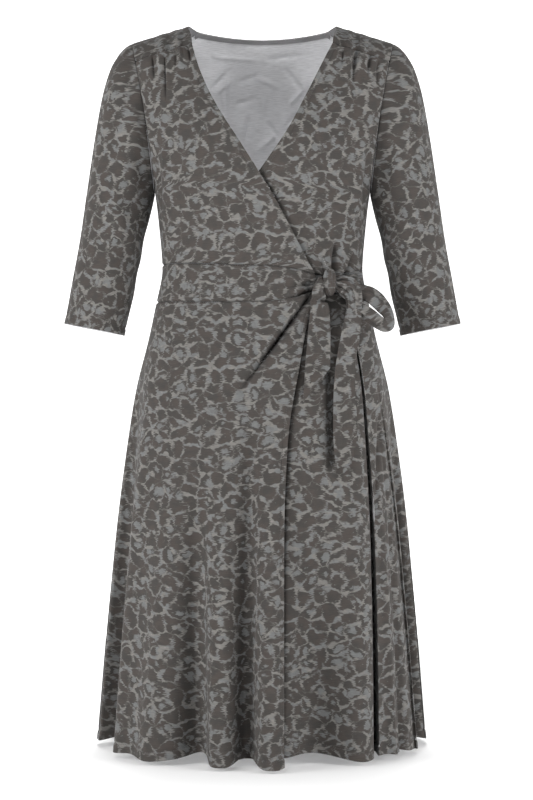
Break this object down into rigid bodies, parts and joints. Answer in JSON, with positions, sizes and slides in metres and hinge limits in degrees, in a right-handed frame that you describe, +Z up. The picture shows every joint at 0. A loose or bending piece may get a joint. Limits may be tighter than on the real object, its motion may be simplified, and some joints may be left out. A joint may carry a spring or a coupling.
{
  "type": "wrap dress",
  "caption": "Jersey wrap dress with crossed V-neck bodice, shoulder yokes, three-quarter sleeves, midriff band, flared skirt and a side tie in a one-loop bow, filled out as worn.",
  "frame": {"origin": "midway between the two neck points at the top of the shoulders, where the wearer's shoulders hold the dress", "axes": "+Z up, -Y to the front, +X to the wearer's left"},
  "size_m": [0.5504, 0.4561, 1.0027],
  "materials": {
    "print_jersey": "matt stretch jersey, grey animal print",
    "binding": "matt mid grey knitted binding"
  },
  "bodies": {
    "root": {"bodice_front_right": "print_jersey", "bodice_front_left": "print_jersey", "bodice_back": "print_jersey", "yoke_right": "print_jersey", "yoke_left": "print_jersey", "sleeve_right": "print_jersey", "sleeve_left": "print_jersey", "band_over": "print_jersey", "band_under": "print_jersey", "band_back": "print_jersey", "skirt_front_right": "print_jersey", "skirt_front_left": "print_jersey", "skirt_back": "print_jersey", "neck_binding": "binding", "tie_knot": "print_jersey", "tie_gathers": "print_jersey", "tie_hook": "print_jersey", "tie_loop": "print_jersey", "tie_tail_long": "print_jersey"}
  },
  "joints": []
}
